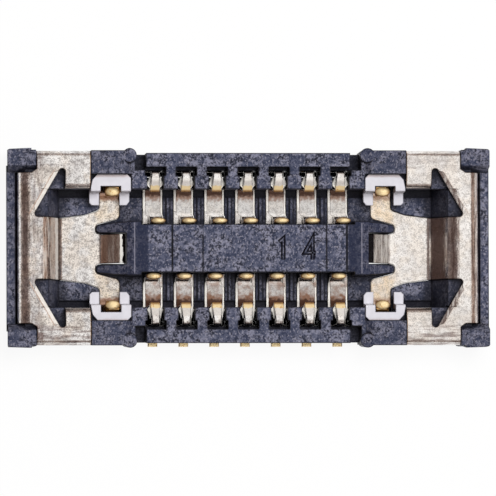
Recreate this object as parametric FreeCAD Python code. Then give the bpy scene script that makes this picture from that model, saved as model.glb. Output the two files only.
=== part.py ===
import FreeCAD, Part
import math
import os

V = FreeCAD.Vector
ACROSS = V(1, 0, 0)
ALONG = V(0, 1, 0)

# All sizes in mm; X runs along the rows, +Z is the mating side, Z = 0 is the solder plane.
# A corner is (u, v) or (u, v, radius); only the +X +Y quarter is drawn, the rest is mirrored.

# Whole receptacle
pitch = 0.35
contacts_per_row = 7
end_land = 0.105
wall_half_length = pitch * (contacts_per_row - 1) / 2 + end_land
end_reach = 1.58
length = 2 * (wall_half_length + end_reach)
width = 2.256
half_width = width / 2
height = 0.58
fit = 0.004
standoff = 0.02

# Levels of the moulded housing
wall_top = 0.50
island_top = 0.48
ledge_top = 0.43
notch_top = 0.25
floor_top = 0.09
trough_floor = 0.05
draft_shift = 0.035
side_draft = 0.022

# Plan of the moulded housing
wall_outer = half_width - 0.055
wall_inner = half_width - 0.461
trough_inner = half_width - 0.543
notch_inner_y = half_width - 0.248
collar_start = wall_half_length + 0.125
collar_end = wall_half_length + 0.630
collar_outer = half_width - 0.028
collar_crest = wall_half_length + 0.245
collar_foot = 0.42
nub_centre = (collar_start + 0.065, collar_outer - 0.055)
nub_radius = 0.082
seat_inner_end = wall_half_length + 0.165

# Corner blocks of the housing
block_inner_x = wall_half_length + 1.249
block_step_x = wall_half_length + 1.305
block_step = 0.022
block_inner_y = half_width - 0.198
block_bevel_y = half_width - 0.266
block_bevel_drop = 0.13
block_corner_set_back = 0.014
block_corner_radius = 0.035
block_edge_radius = 0.018
corner_draft = 0.058
corner_web = 0.06

# Island between the rows
island_half_width = 0.269
island_half_length = wall_half_length + 0.155
prong_root = wall_half_length + 0.055
prong_outer = 0.302
prong_inner = 0.171
prong_tip = wall_half_length + 0.532
prong_tip_y = 0.228
prong_tip_radius = 0.038
prong_gap = 0.014
prong_tip_top = 0.13
notch_end = wall_half_length + 0.217
floor_rib_width = 0.040
floor_rib_height = 0.025
mark_width = 0.009
mark_depth = 0.007

# End fitting, one stamped and folded sheet
sheet_gauge = 0.08
lip_face = wall_half_length + 1.460
lip_bottom = 0.14
lip_radius = 0.14
lead_in_x = wall_half_length + 1.115
lead_in_radius = 0.16
foot_x = wall_half_length + 0.945
foot_radius = 0.06
plate_top = 0.10
tab_root = wall_half_length + 0.480
tab_end = (wall_half_length + 0.285, 0.365)
tab_half_width = 0.162
tab_radius = 0.06
tab_flat = tab_root + 0.035
lip_room_gap = 0.018
band_half_width = half_width - 0.278
throat_half_width = 0.348
throat_bend = (wall_half_length + 0.660, 0.383)

# Side flanges of the end fitting
flange_start = wall_half_length + 0.635
flange_end = wall_half_length + 1.243
flange_outer = half_width - 0.028
flange_radius = 0.10
flange_slope_start = half_width - 0.258
flange_lip = half_width - 0.456
flange_lip_drop = 0.055
flange_lip_bottom = 0.42
skirt_bottom = 0.22
skirt_draft = 0.014
leg_start = wall_half_length + 0.775
leg_end = wall_half_length + 1.095
body_half_width = flange_outer - skirt_draft - sheet_gauge - 2 * fit

# Fin shaped opening between band and flange
fin_right = wall_half_length + 0.918
fin_tip = (fin_right, half_width - 0.123)
fin_tip_radius = 0.040
fin_corner = (wall_half_length + 1.300, 0.350)
fin_radius = 0.040
fin_sheared = 0.042
fin_sheared_drop = 0.022
fin_sheared_start = 0.150
fin_sheared_end = 0.070

# Power arm of the end fitting
arm_inner_x = wall_half_length + 0.273
arm_outer_x = wall_half_length + 0.497
arm_bump_x = wall_half_length + 0.376
arm_bump_half_width = 0.073
arm_wide_top = 0.15
arm_neck = 0.23
arm_tip_taper = 0.032
arm_back = half_width - 0.433
arm_bump = half_width - 0.560
arm_bump_z = 0.365
arm_tip = (half_width - 0.437, 0.412)
arm_bump_radius = 0.055
arm_bend_radius = 0.06
arm_root_y = half_width - 0.688
arm_heel_y = 0.345
arm_riser_root = arm_back - 0.05

# Pale guard over each power arm
guard_inner_x = wall_half_length + 0.174
guard_outer_x = wall_half_length + 0.626
guard_slot_inner = wall_half_length + 0.284
guard_slot_outer = wall_half_length + 0.517
guard_back_upper = half_width - 0.298
guard_back_lower = half_width - 0.315
guard_window_upper = half_width - 0.428
guard_window_lower = half_width - 0.405
guard_knee_y = half_width - 0.488
guard_foot_y = half_width - 0.502
guard_end_y = half_width - 0.638
guard_top = 0.49
guard_foot_top = 0.27
guard_gauge = 0.055
guard_chamfer = 0.040
guard_shoulder = (0.018, 0.060)
guard_shoulder_end = 0.072

# Signal contact, a strip bent to a U with one bump on each leg
strip_gauge = 0.06
tail_tip_upper = half_width - 0.038
tail_tip_lower = half_width - 0.025
tail_width = 0.11
riser_face = half_width - 0.253
contact_top = 0.49
crown_radius = 0.065
crown_slope_y = riser_face - 0.10
crown_slope_radius = 0.10
outer_bump_upper = (half_width - 0.496, 0.385)
outer_bump_lower = (half_width - 0.528, 0.385)
outer_bump_radius = 0.045
heel_y = half_width - 0.428
contact_floor_top = 0.10
floor_width = 0.22
inner_leg_face = 0.335
inner_bump = (0.357, 0.385)
inner_tip = (0.338, 0.458)
inner_leg_width = 0.145
inner_leg_shift_upper = 0.036
inner_leg_shift_lower = -0.015
crown_strip_width = 0.10
crown_narrow_y = half_width - 0.322
shoulder_width = 0.16
shoulder_z = 0.30
flare_low = 0.12
flare_high = 0.19
slot_width = 0.237
slot_neck_width = 0.190
slot_neck_y = half_width - 0.312
slot_outer = half_width - 0.213
slot_shelf = 0.30
bend_radius = 0.03


def corners(points):
    return [p if len(p) == 3 else (p[0], p[1], 0.0) for p in points]


def heading(p, q):
    run = math.hypot(q[0] - p[0], q[1] - p[1])
    return (q[0] - p[0]) / run, (q[1] - p[1]) / run


def offset_line(points, gap):
    # The line moved to its left; every bend keeps its centre.
    line = corners(points)
    last = len(line) - 1
    moved = []
    for i, (u, v, radius) in enumerate(line):
        a = heading(line[max(i - 1, 0)], line[max(i, 1)])
        b = heading(line[min(i, last - 1)], line[min(i + 1, last)])
        nu = -a[1] - b[1]
        nv = a[0] + b[0]
        scale = 2 * gap / (nu * nu + nv * nv)
        left_turn = a[0] * b[1] - a[1] * b[0] > 0
        bend = radius - gap if left_turn else radius + gap
        moved.append((u + nu * scale, v + nv * scale, bend if radius else 0.0))
    return moved


def at(plane, u, v, w):
    return {"xy": V(u, v, w), "xz": V(u, w, v), "yz": V(w, u, v)}[plane]


def prism(points, plane, start, end):
    # Closed outline with rounded corners, drawn in a plane and pulled from start to end.
    line = corners(points)
    knots = []
    for i, (u, v, radius) in enumerate(line):
        back = heading((u, v), line[i - 1])
        on = heading((u, v), line[(i + 1) % len(line)])
        if radius <= 0:
            knots.append([(u, v)])
            continue
        half = math.acos(back[0] * on[0] + back[1] * on[1]) / 2
        reach = radius / math.tan(half)
        rise = (radius / math.sin(half) - radius) / (2 * math.cos(half))
        entry = (u + back[0] * reach, v + back[1] * reach)
        middle = (u + (back[0] + on[0]) * rise, v + (back[1] + on[1]) * rise)
        leave = (u + on[0] * reach, v + on[1] * reach)
        knots.append([entry, middle, leave])
    edges = []
    for i, knot in enumerate(knots):
        here = [at(plane, u, v, start) for u, v in knot]
        after = at(plane, *knots[(i + 1) % len(knots)][0], start)
        if len(here) == 3:
            edges.append(Part.Arc(*here).toShape())
        if here[-1].distanceToPoint(after) > 1e-6:
            edges.append(Part.makeLine(here[-1], after))
    face = Part.Face(Part.Wire(edges))
    return face.extrude(at(plane, 0, 0, end - start))


def sheet(points, gauge, plane, start, end):
    # Bent sheet drawn by its visible side, thickened to the left of that line.
    return prism(corners(points) + offset_line(points, gauge)[::-1], plane, start, end)


def box(x0, x1, y0, y1, z0, z1):
    return Part.makeBox(x1 - x0, y1 - y0, z1 - z0, V(x0, y0, z0))


def flipped(shape, axis):
    return shape.mirror(V(0, 0, 0), axis)


def rows(shape):
    return [shape, flipped(shape, ALONG)]


def quarters(shape):
    return [copy for half in (shape, flipped(shape, ACROSS)) for copy in rows(half)]


def contact_places():
    first = -pitch * (contacts_per_row - 1) / 2
    return [first + pitch * i for i in range(contacts_per_row)]


def band_line():
    # Visible side of the end band: outer lip, top, lead-in, floor plate, tab.
    return [
        (lip_face, lip_bottom),
        (lip_face, height, lip_radius),
        (lead_in_x, height, lead_in_radius),
        (foot_x, plate_top, foot_radius),
        (tab_root, plate_top, tab_radius),
        tab_end,
    ]


def band_plan(grow):
    # Half plan of the band; grow widens it for the opening in the housing.
    edge = tab_half_width + grow
    side = band_half_width + grow
    mouth = prong_tip + prong_gap - grow
    return [
        (lip_face + grow + 0.01, 0),
        (lip_face + grow + 0.01, side),
        (flange_end + corner_web, side, 0.03),
        (flange_end - 0.01, side + corner_web * 0.8),
        (flange_end - 0.01, wall_inner),
        (fin_at(wall_inner) - grow, wall_inner),
        (fin_corner[0] - grow, fin_corner[1] + grow, fin_radius),
        (foot_x, throat_half_width + grow, 0.4),
        (throat_bend[0], throat_bend[1] + grow, 0.25),
        (arm_outer_x + grow, arm_root_y + grow, 0.05),
        (arm_outer_x + grow, arm_riser_root),
        (arm_inner_x - grow, arm_riser_root),
        (arm_inner_x - grow, arm_heel_y, 0.06),
        (mouth - 0.020, prong_tip_y + prong_tip_radius + prong_gap - grow, 0.03),
        (mouth, prong_tip_y + 0.020, 0.03),
        (mouth, prong_tip_y - prong_tip_radius - prong_gap + grow, 0.04),
        (tab_root + 0.010, edge + 0.006, 0.02),
        (tab_root - 0.005, edge),
        (notch_end - 0.002, edge),
        (notch_end - 0.002, 0),
    ]


def fin_at(y):
    # Where the slanted edge of the fin stands at this y.
    share = (fin_tip[1] - y) / (fin_tip[1] - fin_corner[1])
    return fin_tip[0] + share * (fin_corner[0] - fin_tip[0])


def fin_cut():
    outline = [
        (fin_tip[0], fin_tip[1], fin_tip_radius),
        (fin_corner[0], fin_corner[1], fin_radius),
        (fin_right, fin_corner[1] - 0.01),
    ]
    return prism(outline, "xy", 0, height + 0.1)


def fin_bevel():
    # Sheared slope along the slanted edge of the fin, narrowing to nothing at both ends.
    run = heading(fin_tip, fin_corner)
    first = fin_sheared_start
    last = math.dist(fin_tip, fin_corner) - fin_sheared_end
    low = height - fin_sheared_drop
    above = height + 0.02
    edge = fin_sheared * (above - low) / fin_sheared_drop
    section = [(-0.01, low), (0, low), (edge, above), (-0.01, above)]
    plan = [(first, -0.01), (last, -0.01), (last - 0.05, fin_sheared), (first + 0.05, fin_sheared)]
    slope = prism(section, "yz", first, last).common(prism(plan, "xy", 0, 1))
    slope.rotate(V(0, 0, 0), V(0, 0, 1), math.degrees(math.atan2(run[1], run[0])))
    slope.translate(V(fin_tip[0], fin_tip[1], 0))
    return slope


def end_band():
    # Bent everywhere, but flat beside the tab where the power arms start.
    bent = sheet(band_line(), sheet_gauge, "xz", -1, 1)
    flat = box(notch_end, tab_flat, -1, 1, plate_top - sheet_gauge, plate_top)
    beside = rows(box(notch_end, tab_flat, prong_inner, 1, -0.1, height))
    half = prism(band_plan(0), "xy", -0.1, height + 0.1)
    band = bent.cut(beside).fuse([flat.common(side) for side in beside])
    band = band.common(half.fuse(flipped(half, ALONG)))
    return band.cut(rows(fin_bevel()))


def side_flange():
    # Skirt and flat top up to the fin, then the part that slopes to the inner lip.
    flat = [
        (flange_outer - skirt_draft, skirt_bottom),
        (flange_outer, height, flange_radius),
        (wall_inner, height),
    ]
    rolled = flat[:2] + [
        (flange_slope_start, height, 0.4),
        (flange_lip + 0.012, height - flange_lip_drop, 0.09),
        (flange_lip, flange_lip_bottom),
    ]
    plain = sheet(flat, sheet_gauge, "yz", fin_right, flange_end)
    lipped = sheet(rolled, sheet_gauge, "yz", flange_start, fin_right)
    face = flange_outer - skirt_draft
    leg = box(leg_start, leg_end, face - sheet_gauge, face, 0, skirt_bottom + skirt_draft)
    return plain.cut([fin_cut(), fin_bevel()]).fuse([lipped, leg])


def arm_outline():
    # Front of the arm: wide heel, narrow neck, tip cut back on its outer side.
    left = arm_bump_x - arm_bump_half_width
    right = arm_bump_x + arm_bump_half_width
    return [
        (arm_inner_x, -0.1),
        (arm_outer_x, -0.1),
        (arm_outer_x, arm_wide_top, 0.02),
        (right, arm_neck, 0.02),
        (right, arm_bump_z - 0.03, 0.02),
        (right - arm_tip_taper, arm_tip[1], 0.02),
        (right - arm_tip_taper, height),
        (left + 0.01, height),
        (left, height),
        (left, arm_neck, 0.02),
        (arm_inner_x, arm_wide_top, 0.02),
    ]


def power_arm():
    # Visible side: tip, bump, heel, then the floor part that joins the band.
    line = [
        arm_tip,
        (arm_bump, arm_bump_z, arm_bump_radius),
        (arm_back, plate_top, arm_bend_radius),
        (arm_root_y, plate_top),
    ]
    arm = sheet(line, sheet_gauge, "yz", arm_inner_x, arm_outer_x)
    return arm.common(prism(arm_outline(), "xz", 0, 1))


def end_fitting():
    parts = rows(side_flange()) + rows(power_arm())
    return end_band().fuse(parts).removeSplitter()


def power_guard(back, window_y):
    side = [
        (back, guard_top),
        (guard_knee_y, guard_top, 0.02),
        (guard_foot_y, guard_foot_top, 0.02),
        (guard_end_y, guard_foot_top),
    ]
    cut = guard_chamfer
    plan = [
        (guard_inner_x + cut, back),
        (guard_inner_x, back - cut),
        (guard_inner_x, guard_end_y + cut),
        (guard_inner_x + cut * 0.8, guard_end_y),
        (guard_slot_inner, guard_end_y),
        (guard_slot_inner, window_y),
        (guard_slot_outer, window_y),
        (guard_slot_outer, guard_end_y),
        (guard_outer_x - cut * 0.7, guard_end_y),
        (guard_outer_x, guard_end_y + cut * 0.7),
        (guard_outer_x, back - 2.5 * guard_shoulder[1]),
        (guard_outer_x - guard_shoulder[0], back - guard_shoulder[1]),
        (guard_outer_x - guard_shoulder_end, back),
    ]
    bent = sheet(side, guard_gauge, "yz", guard_inner_x, guard_outer_x)
    below = guard_top - guard_gauge
    web = box(guard_slot_inner, guard_slot_outer, window_y - 0.01, back - 0.02, 0, below)
    return bent.common(prism(plan, "xy", 0, height)).cut(web)


def contact_line(tail_tip, outer_bump):
    # Visible side: tail, riser, crown, outer bump, floor, inner leg with its bump.
    return [
        (tail_tip, strip_gauge),
        (riser_face, strip_gauge, bend_radius),
        (riser_face, contact_top, crown_radius),
        (crown_slope_y, contact_top, crown_slope_radius),
        (outer_bump[0], outer_bump[1], outer_bump_radius),
        (heel_y, contact_floor_top, 0.04),
        (inner_leg_face, contact_floor_top, 0.05),
        (inner_leg_face, inner_bump[1] - 0.11, 0.10),
        (inner_bump[0], inner_bump[1], 0.03),
        inner_tip,
    ]


def mirrored_outline(points):
    # The right half of an outline, closed with its mirror image.
    return points + [(-p[0],) + tuple(p[1:]) for p in points[::-1]]


def leg_outline(shoulder_top):
    # Front of an outer leg: floor width, flare, shoulders, then the crown strip.
    steps = [
        (floor_width / 2, -0.01),
        (floor_width / 2, flare_low, 0.02),
        (shoulder_width / 2, flare_high, 0.02),
    ]
    if shoulder_top < height:
        steps.append((shoulder_width / 2, shoulder_top, 0.02))
        steps.append((crown_strip_width / 2, shoulder_top + 0.06, 0.02))
        steps.append((crown_strip_width / 2, height))
    else:
        steps.append((shoulder_width / 2, height))
    return mirrored_outline(steps)


def signal_contact(x, leg_shift, tail_tip, outer_bump):
    strip = sheet(contact_line(tail_tip, outer_bump), strip_gauge, "yz", -floor_width, floor_width)
    inner_leg = [
        (floor_width / 2, -0.01),
        (floor_width / 2, contact_floor_top + 0.02, 0.02),
        (leg_shift + inner_leg_width / 2, contact_floor_top + 0.06, 0.01),
        (leg_shift + inner_leg_width / 2, height),
        (leg_shift - inner_leg_width / 2, height),
        (leg_shift - inner_leg_width / 2, contact_floor_top + 0.06, 0.01),
        (-floor_width / 2, contact_floor_top + 0.02, 0.02),
        (-floor_width / 2, -0.01),
    ]
    knee = outer_bump[0] - 0.035
    foot = riser_face + 0.02
    tail = box(-tail_width / 2, tail_width / 2, foot, width, -0.01, 1)
    front = prism(leg_outline(height), "xz", knee, crown_narrow_y)
    back = prism(leg_outline(shoulder_z), "xz", crown_narrow_y, foot)
    floor_part = box(-floor_width / 2, floor_width / 2, 0.40, knee, -0.01, 1)
    inner = prism(inner_leg, "xz", 0, 0.40)
    contact = strip.common(tail.fuse([front, back, floor_part, inner]))
    contact.translate(V(x, 0, 0))
    return contact


def frustum_body():
    # Lower body with draft, wider at the ledge than at the solder side.
    def ring(half_length, half_width, z):
        points = [V(-half_length, -half_width, z), V(half_length, -half_width, z)]
        points += [V(half_length, half_width, z), V(-half_length, half_width, z)]
        return Part.makePolygon(points + points[:1])

    low = ring(length / 2 - draft_shift, body_half_width - draft_shift / 2, standoff)
    high = ring(length / 2, body_half_width, ledge_top)
    return Part.makeLoft([low, high], True, True)


def corner_block():
    side = [
        (width / 2, height, block_edge_radius),
        (block_inner_y, height, block_edge_radius),
        (block_bevel_y, height - block_bevel_drop),
        (block_bevel_y, ledge_top - 0.1),
        (body_half_width - 0.02, standoff),
        (width / 2 - draft_shift, standoff),
    ]
    plan = [
        (block_inner_x, 0),
        (block_inner_x, width / 2 - block_step, 0.01),
        (block_step_x, width / 2 - block_step),
        (block_step_x, width / 2, 0.006),
        (length / 2, width / 2 - block_corner_set_back, block_corner_radius),
        (length / 2, 0),
    ]
    front = [
        (block_inner_x, standoff),
        (block_inner_x, height, block_edge_radius),
        (length / 2, height, block_edge_radius),
        (length / 2 - corner_draft, standoff),
    ]
    block = prism(side, "yz", block_inner_x, length / 2)
    return block.common(prism(plan, "xy", 0, 1)).common(prism(front, "xz", 0, width))


def corner_wedge():
    # Draft that takes the lower body in under the corner block.
    outline = [
        (length / 2 - corner_draft, standoff),
        (length / 2, height),
        (length / 2 + 0.1, height),
        (length / 2 + 0.1, standoff - 0.01),
        (length / 2 - corner_draft, standoff - 0.01),
    ]
    return prism(outline, "xz", block_inner_y, width)


def side_wedge(face, top):
    # What the draft takes off an outer face that stands at this y at its top.
    outline = [
        (face - side_draft, standoff),
        (face, top),
        (face + 0.1, top),
        (face + 0.1, standoff - 0.01),
        (face - side_draft, standoff - 0.01),
    ]
    return prism(outline, "yz", -length, length)


def collar():
    # Raised bridge over the side wall, sloping down to the mid section.
    side = [
        (collar_end, standoff),
        (collar_end, height),
        (collar_crest, height, 0.05),
        (collar_start, collar_foot, 0.03),
        (collar_start, standoff),
    ]
    bridge = prism(side, "xz", wall_inner, collar_outer).cut(side_wedge(collar_outer, height))
    low = collar_start - nub_radius
    slope = [(collar_end, 0), (collar_end, height), (collar_crest, height)]
    slope += [(low, wall_top), (low, 0)]
    foot = nub_radius - side_draft
    nub = Part.makeCone(foot, nub_radius, height - standoff, V(*nub_centre, standoff))
    ramp = prism(slope, "xz", 0, width)
    return bridge.fuse(nub.common(ramp))


def guard_seat(back):
    # Pocket for the guard and the riser of the power arm, open to the mating side.
    floor_z = guard_top - guard_gauge
    first = guard_inner_x - fit
    last = guard_outer_x + fit
    web = guard_knee_y + guard_gauge + fit
    arm_start = arm_inner_x - fit
    arm_stop = arm_outer_x + fit
    pocket = box(first, last, 0, back + fit, floor_z, 1)
    well = box(arm_start, arm_stop, arm_root_y, arm_back + sheet_gauge + fit, -0.01, 1)
    legs = box(first, last, 0, web, guard_foot_top - guard_gauge - fit, 1)
    return [pocket, well, legs]


def prong():
    # End of the island: two ramps that run down to the floor beside the tab.
    plan = [
        (prong_root, prong_inner),
        (prong_tip - 0.05, prong_inner + 0.012, 0.05),
        (prong_tip, prong_tip_y - prong_tip_radius, prong_tip_radius * 0.9),
        (prong_tip, prong_tip_y + prong_tip_radius, prong_tip_radius * 0.9),
        (prong_tip - 0.20, prong_outer - 0.01, 0.1),
        (prong_root, prong_outer),
    ]
    ramp = [
        (prong_root, standoff),
        (prong_root, island_top),
        (island_half_length, island_top, 0.08),
        (prong_tip, prong_tip_top),
        (prong_tip, standoff),
    ]
    return prism(plan, "xy", 0, 1).common(prism(ramp, "xz", 0, 1))


def island_marks():
    # Shallow lines that the mould's inserts leave on the island.
    top = island_top - mark_depth
    lines = [
        (-0.863, -0.185, 0.235),
        (-0.515, -0.269, 0.150),
        (0.890, -0.200, 0.269),
        (1.117, -0.150, 0.250),
    ]
    half = mark_width / 2
    return [box(x - half, x + half, low, high, top, 1) for x, low, high in lines]


def island():
    core = box(-prong_root, prong_root, -island_half_width, island_half_width, standoff, island_top)
    end = [
        (prong_root, standoff),
        (prong_root, island_top),
        (island_half_length, island_top, 0.08),
        (notch_end, island_top - 0.055),
        (notch_end, standoff),
    ]
    neck = prism(end, "xz", -prong_outer, prong_outer)
    return core.fuse([neck, flipped(neck, ACROSS)] + quarters(prong())).cut(island_marks())


def cavity():
    # Room for the mating plug; its ends follow the lead-in of the fittings.
    slope = offset_line(band_line()[2:4], 0.02)
    rise = (slope[0][0] - slope[1][0]) / (slope[0][1] - slope[1][1])
    low = slope[1][0] + (floor_top - slope[1][1]) * rise
    high = slope[1][0] + (1 - slope[1][1]) * rise
    outline = [(low, floor_top), (high, 1), (-high, 1), (-low, floor_top)]
    main = prism(outline, "xz", -wall_inner, wall_inner)
    trough = box(-low, low, trough_inner, wall_inner, trough_floor, 1)
    return [main] + rows(trough)


def fitting_relief():
    # Opening that the band, its lip, the flanges and the arms drop into.
    back = offset_line(band_line(), sheet_gauge + fit)
    deep = [(lip_face + lip_room_gap, 1), (lip_face + lip_room_gap, back[0][1] - 0.02)]
    deep += [(back[0][0], back[0][1] - 0.02)] + back[1:4]
    deep += [(notch_end, back[3][1]), (notch_end, 1)]
    half = prism(band_plan(fit), "xy", -0.1, 1)
    lip_room = box(lip_face - lip_radius, lip_face + lip_room_gap, 0, band_half_width + fit, -0.1, 1)
    under = prism(deep, "xz", 0, 1).common(half.fuse(lip_room))
    flange = box(
        flange_start - fit, block_inner_x, wall_inner - 0.01, width,
        height - flange_lip_drop - sheet_gauge - 2 * fit, 1,
    )
    lip = box(
        flange_start - fit, fin_right + fit, 0, flange_lip + sheet_gauge + fit,
        flange_lip_bottom - 3 * fit, 1,
    )
    skirt = box(flange_start - fit, block_inner_x, body_half_width, width, 0, 1)
    return [under, flange, lip, skirt]


def contact_cuts():
    # Slots wide at the back and narrow in front, room for the floor part, riser and tail.
    back = slot_width / 2
    neck = slot_neck_width / 2
    wide = floor_width / 2 + fit
    tail = tail_width / 2 + fit
    low = contact_floor_top - strip_gauge - fit
    inner = inner_leg_face - strip_gauge - 0.003
    foot = riser_face + 0.02 + fit
    cuts = []
    for x in contact_places():
        cuts.append(box(x - back, x + back, slot_neck_y, riser_face + fit, low, 1))
        cuts.append(box(x - back, x + back, riser_face, slot_outer, slot_shelf, 1))
        cuts.append(box(x - neck, x + neck, wall_inner - 0.02, slot_neck_y, low, 1))
        cuts.append(box(x - wide, x + wide, inner, slot_neck_y, low, flare_high + 0.01))
        cuts.append(box(x - wide, x + wide, riser_face - strip_gauge - fit, foot, -0.01, flare_high))
        cuts.append(box(x - tail, x + tail, foot - 0.01, width, -0.01, strip_gauge + fit))
    return cuts


def floor_ribs():
    half = floor_rib_width / 2
    middles = [x + pitch / 2 for x in contact_places()[:-1]]
    top = floor_top + floor_rib_height
    return [box(x - half, x + half, 0.25, trough_inner, floor_top, top) for x in middles]


def housing():
    inner_top = height - sheet_gauge - fit
    inner_end = lip_face - sheet_gauge - fit
    body = frustum_body()
    ends = box(-inner_end, inner_end, -body_half_width, body_half_width, standoff, inner_top)
    walls = box(
        -wall_half_length, wall_half_length, -wall_outer, wall_outer, standoff, wall_top
    )
    shoulder = box(wall_half_length, collar_end, 0, wall_outer, standoff, notch_top)
    shoulder = shoulder.cut(side_wedge(wall_outer, wall_top))
    notch = box(wall_half_length, collar_start, notch_inner_y, width, notch_top, 1)
    seat = box(wall_half_length, seat_inner_end, 0, notch_inner_y, standoff, wall_top)
    walls = walls.cut(rows(side_wedge(wall_outer, wall_top)))
    outer = body.fuse([ends, walls])
    outer = outer.cut(quarters(notch))
    outer = outer.fuse(quarters(shoulder) + quarters(seat) + quarters(collar()))
    outer = outer.cut(quarters(corner_wedge()))
    outer = outer.fuse(quarters(corner_block()))
    outer = outer.cut(cavity())
    for cut in guard_seat(guard_back_upper):
        outer = outer.cut([cut, flipped(cut, ACROSS)])
    for cut in guard_seat(guard_back_lower):
        cut = flipped(cut, ALONG)
        outer = outer.cut([cut, flipped(cut, ACROSS)])
    outer = outer.fuse(island())
    outer = outer.fuse([part for rib in floor_ribs() for part in rows(rib)])
    outer = outer.cut([part for cut in fitting_relief() for part in quarters(cut)])
    outer = outer.cut([part for cut in contact_cuts() for part in rows(cut)])
    return outer.removeSplitter()


def save(name, shape):
    solids = shape.Solids
    if len(solids) != 1 or not shape.isValid():
        raise ValueError(f"{name}: {len(solids)} solids, valid {shape.isValid()}")
    solids[0].exportStep(f"parts/{name}.step")


os.makedirs("parts", exist_ok=True)
save("housing", housing())
fitting = end_fitting()
save("end_fitting_right", fitting)
save("end_fitting_left", flipped(fitting, ACROSS))
guard = power_guard(guard_back_upper, guard_window_upper)
save("power_guard_right_upper", guard)
save("power_guard_left_upper", flipped(guard, ACROSS))
guard = flipped(power_guard(guard_back_lower, guard_window_lower), ALONG)
save("power_guard_right_lower", guard)
save("power_guard_left_lower", flipped(guard, ACROSS))
for number, place in enumerate(contact_places(), 1):
    upper = signal_contact(place, inner_leg_shift_upper, tail_tip_upper, outer_bump_upper)
    lower = signal_contact(place, inner_leg_shift_lower, tail_tip_lower, outer_bump_lower)
    save(f"signal_contact_upper_{number}", upper)
    save(f"signal_contact_lower_{number}", flipped(lower, ALONG))
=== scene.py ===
import math

import bmesh
import bpy
from bpy.props import FloatProperty, FloatVectorProperty, IntProperty, PointerProperty
from mathutils import Matrix, Vector


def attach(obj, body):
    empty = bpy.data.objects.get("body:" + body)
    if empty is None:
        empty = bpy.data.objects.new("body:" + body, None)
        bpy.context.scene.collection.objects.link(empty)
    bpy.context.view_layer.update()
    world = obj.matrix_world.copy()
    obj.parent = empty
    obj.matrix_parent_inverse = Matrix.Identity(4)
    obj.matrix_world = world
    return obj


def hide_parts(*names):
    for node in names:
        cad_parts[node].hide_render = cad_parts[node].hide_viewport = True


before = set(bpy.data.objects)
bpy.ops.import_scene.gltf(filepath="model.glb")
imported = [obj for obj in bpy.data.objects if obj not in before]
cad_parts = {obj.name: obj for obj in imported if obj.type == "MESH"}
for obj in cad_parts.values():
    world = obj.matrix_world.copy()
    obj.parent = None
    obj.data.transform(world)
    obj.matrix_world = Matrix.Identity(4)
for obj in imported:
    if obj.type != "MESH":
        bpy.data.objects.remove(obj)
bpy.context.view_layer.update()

bl_info = {
    "name": "Fine Pitch Receptacle",
    "version": (1, 0, 0),
    "blender": (4, 5, 0),
    "location": "View3D > Sidebar > Receptacle",
    "description": "Contacts, finishes and studio of a small board-to-FPC receptacle",
    "category": "Object",
}

MM = 0.001
MICRON = 0.000001
NODES = sorted(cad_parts)
CONTACTS = [name for name in NODES if name.startswith("signal_contact")]
FITTINGS = [name for name in NODES if name.startswith("end_fitting")]
GUARDS = [name for name in NODES if name.startswith("power_guard")]

# Noise scales in cells per metre: 20000 makes grains of 0.05 mm.
COARSE_GRAIN = 19000
FINE_GRAIN = 60000
FIBRE_GRAIN = 55000
FIBRE_FLECKS = 48000
RAGGED = 30000
STREAKS = 36000
TEARS = 40000
OUTLINE_GRAIN = 50000
EDGE_TINT_GRAIN = 26000
SOFT_RAGGED = 22000
RESIN_CLOUDS = 12000
SHADE_PATCHES = 11000
GILT_WARMTH = 9000
PATCHES = 7000
WARM_PATCHES = 6000
DULL_CLOUDS = 3200

# Stretch of a noise for marks that run along one axis.
ALONG_X = (0.15, 1, 1)
ALONG_Y = (1, 0.12, 1)
TORN_Y = (1, 0.3, 1)
FIBRE = (1, 0.7, 1)

# Reach of the dark line of painted shade along sharp edges, on each finish.
HOUSING_LINE = 26 * MICRON
FITTING_LINE = 20 * MICRON
GUARD_LINE = 18 * MICRON
CONTACT_LINE = 14 * MICRON

# Lines across the island's top: place and half width in millimetres, and strength.
ISLAND_LINES = (
    (-0.860, 0.0075, 0.9),
    (-0.508, 0.0040, 0.4),
    (0.887, 0.0060, 0.7),
    (1.119, 0.0085, 0.9),
)

# Bands of painted reflection, shade and highlight over the folds of the end fittings, in millimetres of x +
# FOLD_SLANT * z.
FOLD_SLANT = 0.104
BAND_SOFT = 0.008
FOLD_BANDS = {
    "lip_left": (-2.520, -2.420),
    "top_streaks": (-2.410, -2.275),
    "lead_in": (-2.265, -2.145),
    "foot_highlight": (-2.134, -2.114),
    "lead_in_end": (-2.108, -2.080),
    "tab_heel": (-1.620, -1.555),
    "bend_foot": (2.042, 2.125),
    "bend_middle": (2.128, 2.262),
    "bend_top": (2.265, 2.445),
    "lip_right": (2.585, 2.670),
}

# A point of the slanted cut of the end fittings' openings, and the cut's normal.
FIN_POINT = (2.073, 1.005)
FIN_NORMAL = (0.864, 0.504)

# The bump of each power arm: centre and radii in millimetres.
POWER_BUMP = (1.531, 0.640, 0.396)
POWER_BUMP_RADII = (0.086, 0.056, 0.036)

# Heights of the contact strip's visible side in millimetres: tail, floor part and crown.
TAIL_TOP = 0.06
FLOOR_TOP = 0.10
CROWN_TOP = 0.49

# The lower row's crown leans this much further towards the island, in millimetres.
LOWER_LEAN = 0.032

# The flat ends of the floor part keep this gap to the inner leg, whose tip is rounded in steps.
LEG_GAP = 0.006
TIP_STEPS = 5
TIP_ROUNDING = 0.022
TIP_LENGTH = 0.018

# Places in the outline of a strip's section that show the sheared metal.
SHEARED_EDGES = (1, 2, 8, 9)


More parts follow.
